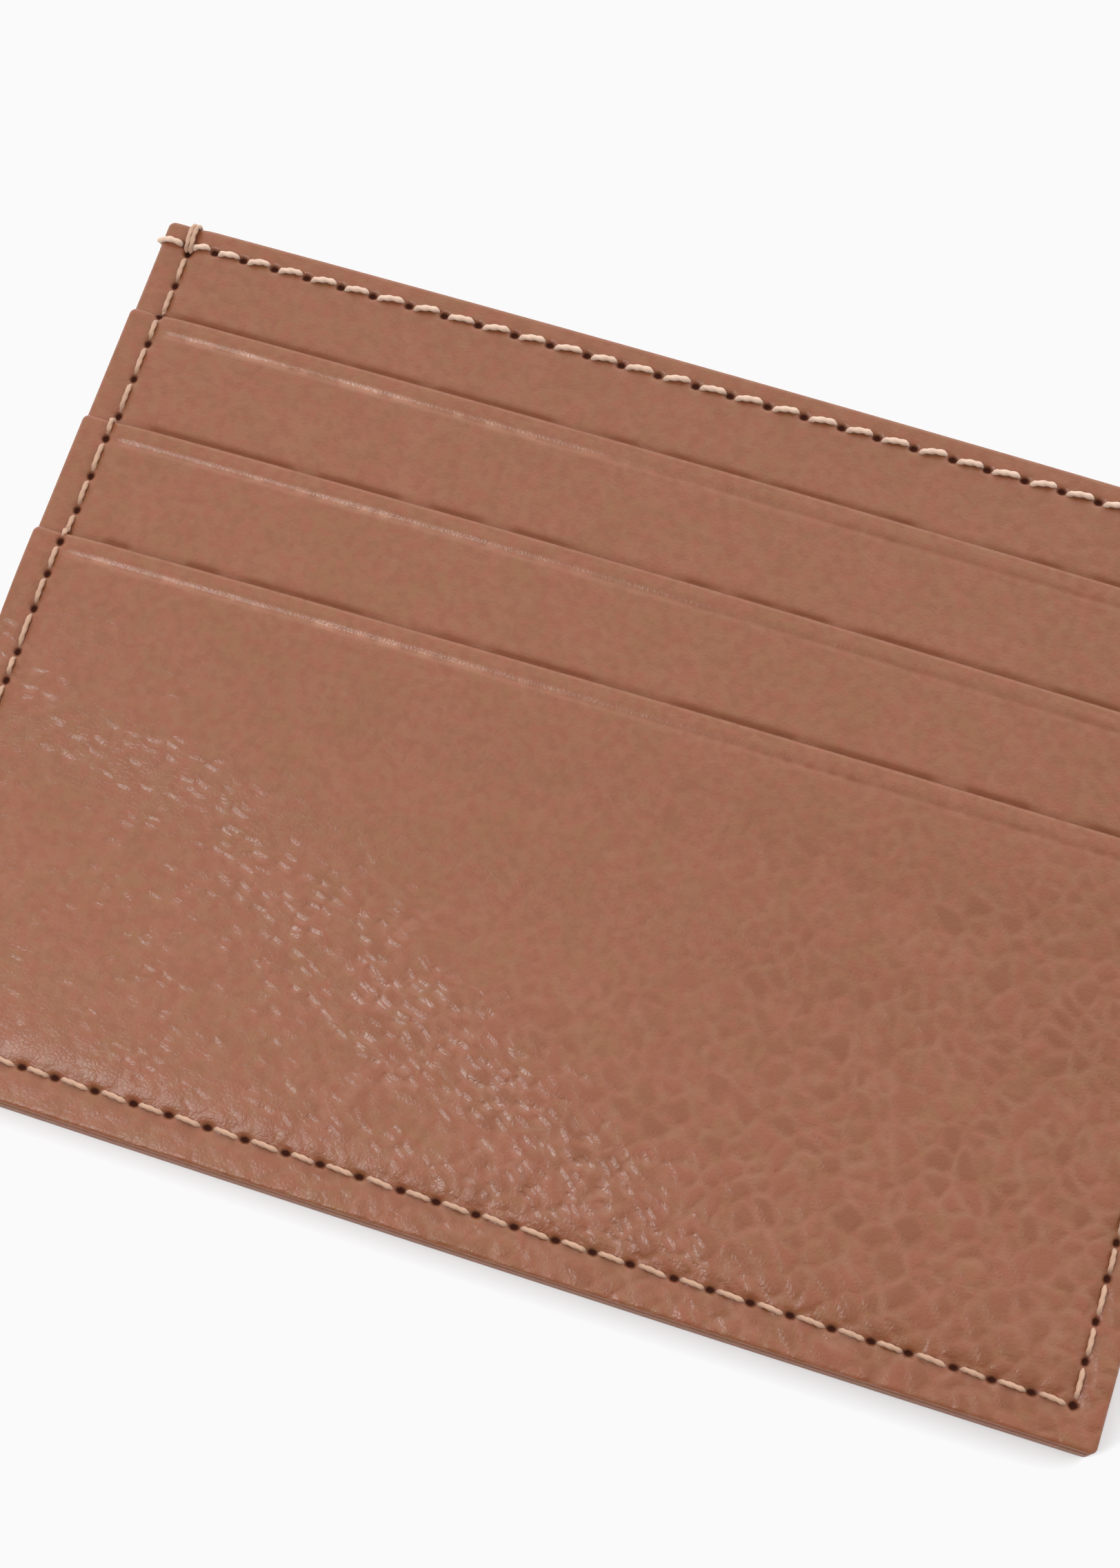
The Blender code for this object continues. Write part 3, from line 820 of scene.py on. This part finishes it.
def make_back_hem_stitches():
    """The thin seam along the back half's top edge."""
    radius = BACK_HEM_THREAD
    routes = seam_routes(BACK_HEM_HOLES, back_face, side=-1, radius=radius, trim=0.36 * MM,
                         crown=0.0, bow=0.05 * MM, slant=0.1 * MM, seed=6)
    inner_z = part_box("centre_lining_back")[1].z + 0.05 * MM
    routes += [hem_wrap(side, radius, BACK_HEM_Y, 0.30 * MM, inner_z, sign=-1)
               for side in (-1, 1)]
    return make_thread("back_hem_stitches", routes, radius)


# ---------------------------------------------------------------- linings

def make_lining(name, node):
    """A thin woven cloth in its CAD solid's place."""
    low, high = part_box(node)
    columns = np.linspace(low.x, high.x, 60)
    rows = np.linspace(low.y, high.y, 46)
    number = int(node.split("_")[1]) if node.startswith("slot") else 0

    def top(x, y):
        if not number:
            return np.full(np.shape(x), high.z)
        return ply_top(y, number) - LEATHER - LINING_GAP

    def bottom(x, y):
        return top(x, y) - LINING

    def layers(x, y, straight_y):
        return (layered_noise(x, y, 9 * MM, 500, 2) - 0.5) * 0.03 * MM, {}

    return make_sheet(name, columns, rows, (low.x, high.x, low.y, high.y), 0.5 * MM, 0.05 * MM,
                      lambda x, y: 0.0 * x, top, bottom, layers)


# ---------------------------------------------------------------- materials

class Nodes:
    """A short way to write a material's node tree."""

    def __init__(self, name):
        self.material = bpy.data.materials.new(name)
        self.material.use_nodes = True
        self.tree = self.material.node_tree
        self.shader = self.tree.nodes["Principled BSDF"]

    def add(self, kind, settings=None, **inputs):
        node = self.tree.nodes.new(kind)
        for key, value in (settings or {}).items():
            setattr(node, key, value)
        for key, value in inputs.items():
            self.set(node, key.replace("_", " "), value)
        return node

    def set(self, node, key, value):
        socket = node.inputs[int(key)] if key.isdigit() else node.inputs[key]
        if isinstance(value, bpy.types.NodeSocket):
            self.tree.links.new(value, socket)
        else:
            socket.default_value = value

    def math(self, operation, a, b=0.0, clamp=False):
        node = self.add("ShaderNodeMath", {"operation": operation, "use_clamp": clamp})
        self.set(node, "0", a)
        self.set(node, "1", b)
        return node.outputs[0]

    def mix(self, share, a, b):
        node = self.add("ShaderNodeMix", {"data_type": "RGBA"})
        self.set(node, "0", share)
        self.set(node, "6", a)
        self.set(node, "7", b)
        return node.outputs[2]

    def ramp(self, value, low, high, shape="LINEAR"):
        node = self.add("ShaderNodeMapRange", {"clamp": True, "interpolation_type": shape},
                        Value=value)
        self.set(node, "From Min", low)
        self.set(node, "From Max", high)
        return node.outputs[0]

    def layer(self, name):
        return self.add("ShaderNodeAttribute", {"attribute_name": name}).outputs["Fac"]

    def place(self):
        """The point's place on the object, in millimetres."""
        coordinates = self.add("ShaderNodeTexCoord").outputs["Object"]
        scaled = self.add("ShaderNodeVectorMath", {"operation": "SCALE"})
        self.set(scaled, "0", coordinates)
        scaled.inputs["Scale"].default_value = 1.0 / MM
        return scaled.outputs[0]

    def noise(self, place, scale, detail, roughness=0.5):
        node = self.add("ShaderNodeTexNoise", Vector=place, Scale=scale, Detail=detail,
                        Roughness=roughness)
        return node.outputs["Fac"]


def flow_place(n, place):
    """The place along and across the pocket's fine folds, which run in arcs round a point."""
    bent = place
    for scale, reach in ((0.35, 1.2), (1.1, 0.2)):
        bending = n.add("ShaderNodeTexNoise", Vector=place, Scale=scale, Detail=1.0)
        amount = n.add("ShaderNodeVectorMath", {"operation": "SCALE"})
        n.set(amount, "0", bending.outputs["Color"])
        amount.inputs["Scale"].default_value = reach
        moved = n.add("ShaderNodeVectorMath", {"operation": "ADD"})
        n.set(moved, "0", bent)
        n.set(moved, "1", amount.outputs[0])
        bent = moved.outputs[0]
    parts = n.add("ShaderNodeSeparateXYZ", Vector=bent)
    across = n.math("SUBTRACT", parts.outputs[0], FLOW_CENTRE[0] / MM)
    up = n.math("SUBTRACT", parts.outputs[1], FLOW_CENTRE[1] / MM)
    length = n.math("MULTIPLY", n.math("ARCTAN2", up, across), FLOW_RADIUS / DENT_SPACING)
    squares = n.math("ADD", n.math("MULTIPLY", across, across), n.math("MULTIPLY", up, up))
    rings = n.math("MULTIPLY", n.math("SQRT", squares), MM / RING_SPACING)
    return n.add("ShaderNodeCombineXYZ", X=length, Y=rings).outputs[0]


def fleck_dents(n, place):
    """Short dents, 0 to 1, steep on the side away from the folds' centre. Where the fleck layer
    is strong most of them show, and where it is weak only a few shallow ones."""
    flow = flow_place(n, place)
    dashes = n.add("ShaderNodeTexVoronoi", {"voronoi_dimensions": "2D"},
                   Vector=flow, Scale=1.0, Randomness=0.9)
    offset = n.add("ShaderNodeVectorMath", {"operation": "SUBTRACT"})
    n.set(offset, "0", flow)
    n.set(offset, "1", dashes.outputs["Position"])
    local = n.add("ShaderNodeSeparateXYZ", Vector=offset.outputs[0])
    chosen = n.add("ShaderNodeSeparateColor", Color=dashes.outputs["Color"])
    fleck = n.layer("fleck")
    above = n.math("ADD", chosen.outputs[0], n.math("SUBTRACT", fleck, 1.0))
    depth = n.math("ADD", n.math("MULTIPLY", fleck, 0.42), 0.38, clamp=True)
    kept = n.math("MULTIPLY", n.math("MULTIPLY", above, 2.2, clamp=True), depth)
    steep = n.ramp(local.outputs[1], 0.36, -0.02)
    gentle = n.ramp(local.outputs[1], -0.62, -0.02, "SMOOTHSTEP")
    ends = n.ramp(n.math("ABSOLUTE", local.outputs[0]), 0.50, 0.15, "SMOOTHSTEP")
    return n.math("MULTIPLY", n.math("MULTIPLY", kept, ends), n.math("MULTIPLY", steep, gentle))


def leather_material(name, base, dark, red, olive, pale):
    """Pigmented, milled leather: tones that differ from pebble to pebble, with painted sheen between
    the pebbles, painted glints on the dents, a painted highlight along the creases, and painted
    shade above the slot mouths, in the creases and in the needle holes.
    """
    n = Nodes(name)
    place = n.place()
    deep = n.layer("deep")
    pebble = n.layer("pebble")
    tone = n.layer("tone")
    cloud = n.ramp(n.noise(place, 0.28, 3.0, 0.6), 0.38, 0.62)
    fleck = n.ramp(n.noise(place, 0.95, 3.0, 0.6), 0.42, 0.64)
    speck = n.ramp(n.noise(place, 1.25, 2.0, 0.5), 0.44, 0.66)
    colour = n.mix(n.math("MULTIPLY", cloud, 0.80), base, olive)
    colour = n.mix(n.math("MULTIPLY", fleck, 0.80), colour, red)
    colour = n.mix(n.math("MULTIPLY", speck, 0.50), colour, dark)
    shown = n.math("ADD", n.ramp(deep, 0.25, 0.95), 0.15)
    on_top = n.math("MULTIPLY", pebble, shown)
    darker = n.math("POWER", tone, 1.2)
    redder = n.ramp(n.math("FRACT", n.math("MULTIPLY", tone, 7.31)), 0.55, 1.0)
    colour = n.mix(n.math("MULTIPLY", on_top, darker), colour, dark)
    colour = n.mix(n.math("MULTIPLY", on_top, n.math("MULTIPLY", redder, 0.7)), colour, red)
    # Painted sheen along the valleys between the pebbles.
    lined = n.math("MULTIPLY", shown, n.ramp(n.noise(place, 0.45, 1.0), 0.42, 0.62))
    between = n.math("MULTIPLY", n.ramp(pebble, 0.7, 0.0), lined)
    colour = n.mix(n.math("MULTIPLY", between, 0.12), colour, pale)
    # Painted highlight along the creases.
    worn = n.layer("worn")
    colour = n.mix(n.math("MULTIPLY", worn, 0.42), colour, (0.47, 0.23, 0.145, 1.0))
    dents = fleck_dents(n, place)
    # Painted glints on the dents.
    colour = n.mix(n.math("MULTIPLY", dents, 0.22), colour, pale)
    # Painted shade above the slot mouths and in the creases.
    shade = n.layer("shade")
    colour = n.mix(shade, colour, (0.110, 0.030, 0.012, 1.0))
    # Painted shade in the needle holes.
    hole = n.ramp(n.layer("hole"), 0.20, 0.62)
    colour = n.mix(hole, colour, (0.038, 0.011, 0.007, 1.0))
    n.set(n.shader, "Base Color", colour)

    gloss = n.ramp(n.noise(place, 0.8, 3.0, 0.6), 0.25, 0.8)
    roughness = n.math("ADD", n.math("MULTIPLY", gloss, 0.12), 0.31)
    roughness = n.math("SUBTRACT", roughness, n.math("MULTIPLY", worn, 0.06))
    roughness = n.math("SUBTRACT", roughness, n.math("MULTIPLY", dents, 0.09))
    n.set(n.shader, "Roughness", n.math("ADD", roughness, n.math("MULTIPLY", hole, 0.3)))
    dull = n.math("MAXIMUM", hole, shade)
    shine = n.math("MULTIPLY", n.math("SUBTRACT", 1.0, dull), 0.42)
    n.set(n.shader, "Specular IOR Level", shine)
    n.shader.inputs["Sheen Weight"].default_value = 0.03
    n.shader.inputs["Sheen Roughness"].default_value = 0.45
    n.shader.inputs["Sheen Tint"].default_value = (0.90, 0.78, 0.86, 1.0)

    pores = n.add("ShaderNodeTexVoronoi", {"feature": "DISTANCE_TO_EDGE"}, Vector=place, Scale=2.6)
    creases = n.ramp(pores.outputs["Distance"], 0.0, 0.25)
    fine = n.noise(place, 6.0, 3.0, 0.65)
    height = n.math("MULTIPLY", n.math("MULTIPLY", pebble, deep), 0.046 * MM)
    height = n.math("ADD", height, n.math("MULTIPLY", creases, 0.010 * MM))
    height = n.math("ADD", height, n.math("MULTIPLY", fine, 0.008 * MM))
    height = n.math("SUBTRACT", height, n.math("MULTIPLY", dents, 0.098 * MM))
    bump = n.add("ShaderNodeBump", Strength=1.0, Distance=1.0, Height=height)
    n.set(n.shader, "Normal", bump.outputs[0])
    return n.material


def thread_material(name, light, dark):
    """Twisted thread: uneven in tone, darker where its fine fibres are."""
    n = Nodes(name)
    place = n.place()
    uneven = n.ramp(n.noise(place, 0.9, 2.0), 0.3, 0.7)
    fibres = n.ramp(n.noise(place, 14.0, 3.0, 0.7), 0.3, 0.75)
    colour = n.mix(n.math("MULTIPLY", uneven, 0.35), light, dark)
    colour = n.mix(n.math("MULTIPLY", fibres, 0.35), colour, dark)
    n.set(n.shader, "Base Color", colour)
    n.shader.inputs["Roughness"].default_value = 0.6
    n.shader.inputs["Sheen Weight"].default_value = 0.25
    bump = n.add("ShaderNodeBump", Strength=0.7, Distance=1.0,
                 Height=n.math("MULTIPLY", fibres, 0.012 * MM))
    n.set(n.shader, "Normal", bump.outputs[0])
    return n.material


def woven_material(name, light, dark):
    """Plain-woven lining cloth: two sets of yarns crossing about every 0.35 mm."""
    n = Nodes(name)
    place = n.place()
    parts = n.add("ShaderNodeSeparateXYZ", Vector=place)
    warp = n.math("SINE", n.math("MULTIPLY", parts.outputs[0], 18.0))
    weft = n.math("SINE", n.math("MULTIPLY", parts.outputs[1], 18.0))
    weave = n.math("ADD", n.math("MULTIPLY", n.math("MULTIPLY", warp, weft), 0.5), 0.5)
    uneven = n.noise(place, 1.6, 3.0, 0.6)
    colour = n.mix(weave, dark, light)
    colour = n.mix(n.math("MULTIPLY", uneven, 0.4), colour, dark)
    n.set(n.shader, "Base Color", colour)
    n.shader.inputs["Roughness"].default_value = 0.75
    n.shader.inputs["Sheen Weight"].default_value = 0.3
    bump = n.add("ShaderNodeBump", Strength=0.7, Distance=1.0,
                 Height=n.math("MULTIPLY", weave, 0.03 * MM))
    n.set(n.shader, "Normal", bump.outputs[0])
    return n.material


def board_material():
    """Bonded leather-fibre board: matt, with short pale fibres."""
    n = Nodes("stiffener_board")
    place = n.place()
    fibres = n.ramp(n.noise(place, 5.0, 4.0, 0.7), 0.35, 0.7)
    colour = n.mix(fibres, (0.22, 0.16, 0.11, 1.0), (0.36, 0.29, 0.22, 1.0))
    n.set(n.shader, "Base Color", colour)
    n.shader.inputs["Roughness"].default_value = 0.9
    bump = n.add("ShaderNodeBump", Strength=0.6, Distance=1.0,
                 Height=n.math("MULTIPLY", fibres, 0.03 * MM))
    n.set(n.shader, "Normal", bump.outputs[0])
    return n.material


def dress(piece, material):
    """Gives a piece its material."""
    piece.data.materials.clear()
    piece.data.materials.append(material)


# ---------------------------------------------------------------- stage

def make_floor():
    """A wide pale floor under the holder."""
    bpy.ops.mesh.primitive_plane_add(size=6.0, location=(0, 0, 0))
    floor = bpy.context.object
    floor.name = "floor"
    n = Nodes("pale_floor")
    n.shader.inputs["Base Color"].default_value = (0.885, 0.897, 0.907, 1.0)
    n.shader.inputs["Roughness"].default_value = 0.9
    n.shader.inputs["Specular IOR Level"].default_value = 0.0
    floor.data.materials.append(n.material)


def add_softbox(name, position, size, power):
    """A square area light that faces the origin."""
    light = bpy.data.lights.new(name, "AREA")
    light.shape = "SQUARE"
    light.size = size
    light.energy = power
    lamp = bpy.data.objects.new(name, light)
    lamp.location = position
    lamp.rotation_euler = (-Vector(position)).to_track_quat("-Z", "Y").to_euler()
    bpy.context.scene.collection.objects.link(lamp)


def make_surround():
    """A white surround that is brighter behind the holder than in front of it."""
    world = bpy.data.worlds.new("studio")
    world.use_nodes = True
    tree = world.node_tree
    direction = tree.nodes.new("ShaderNodeTexCoord")
    parts = tree.nodes.new("ShaderNodeSeparateXYZ")
    tree.links.new(direction.outputs["Generated"], parts.inputs[0])
    strength = tree.nodes.new("ShaderNodeMath")
    strength.operation = "MULTIPLY_ADD"
    strength.inputs[1].default_value = SURROUND_SLOPE * SURROUND
    strength.inputs[2].default_value = SURROUND
    tree.links.new(parts.outputs[1], strength.inputs[0])
    tree.links.new(strength.outputs[0], tree.nodes["Background"].inputs["Strength"])
    tree.nodes["Background"].inputs["Color"].default_value = (1.0, 1.0, 1.0, 1.0)
    bpy.context.scene.world = world


def light_stage():
    """The white surround, one softbox to the left and in front, and the paper's tone."""
    make_surround()
    add_softbox("left_softbox", SOFTBOX_PLACE, SOFTBOX_SIZE, SOFTBOX_POWER)
    scene = bpy.context.scene
    scene.view_settings.view_transform = "Standard"
    scene.view_settings.look = "None"
    scene.view_settings.use_curve_mapping = True
    whites = scene.view_settings.curve_mapping
    whites.extend = "HORIZONTAL"
    whites.curves[3].points[1].location = (1.0, PAPER_WHITE)
    whites.update()


def make_camera():
    """The camera, where it frames the holder as the photo does."""
    data = bpy.data.cameras.new("camera")
    data.sensor_width = 36.0
    data.lens = LENS
    data.clip_start = 0.01
    data.clip_end = 20.0
    camera = bpy.data.objects.new("camera", data)
    camera.location = CAMERA_PLACE
    camera.rotation_euler = Euler([math.radians(angle) for angle in CAMERA_TURN])
    bpy.context.scene.collection.objects.link(camera)
    bpy.context.scene.camera = camera


# ---------------------------------------------------------------- assembly

def stand_for(piece, node, material):
    """Dresses a new piece and puts it in a CAD node's place."""
    dress(piece, material)
    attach(piece, "root")
    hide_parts(node)


def main():
    # The leather's last colour is the painted sheen and glint colour.
    leather = leather_material("tan_leather", (0.208, 0.0715, 0.0310, 1.0),
                               (0.164, 0.0470, 0.0145, 1.0), (0.207, 0.0570, 0.0240, 1.0),
                               (0.182, 0.0720, 0.0230, 1.0), (0.300, 0.1520, 0.1140, 1.0))
    hem_thread = thread_material("cream_thread", (0.66, 0.47, 0.36, 1.0), (0.32, 0.19, 0.13, 1.0))
    side_thread = thread_material("tan_thread", (0.46, 0.275, 0.180, 1.0), (0.24, 0.125, 0.075, 1))
    hidden_thread = thread_material("brown_thread", (0.22, 0.12, 0.07, 1.0), (0.10, 0.05, 0.03, 1))
    cloth = woven_material("lining_cloth", (0.13, 0.07, 0.045, 1.0), (0.05, 0.026, 0.017, 1.0))
    board = board_material()

    visible_lows = [edge - 1.5 * MM for edge in SLOT_EDGES] + [BOTTOM_Y]
    names = ("front_base_leather", "slot_1_leather", "slot_2_leather", "slot_3_leather")
    nodes = ("front_base_panel",) + SLOT_NODES
    for number, (name, node, low) in enumerate(zip(names, nodes, visible_lows)):
        stand_for(make_front_ply(name, number, low), node, leather)
    stand_for(make_back_panel(), "back_panel", leather)

    stand_for(make_side_stitches(), "perimeter_thread", side_thread)
    stand_for(make_front_hem_stitches(), "front_hem_thread", hem_thread)
    stand_for(make_back_hem_stitches(), "back_hem_thread", hem_thread)

    for node in ("centre_lining_back", "centre_lining_front", "slot_1_lining", "slot_2_lining"):
        piece = make_lining(node + "_cloth", node)
        stand_for(piece, node, cloth)
        low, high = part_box(node)

    for node in ("back_stiffener", "front_stiffener"):
        dress(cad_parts[node], board)
    for number in (1, 2):
        for seam in ("join", "floor"):
            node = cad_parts[f"slot_{number}_{seam}_thread"]
            dress(node, hidden_thread)

    make_floor()
    light_stage()
    make_camera()


main()
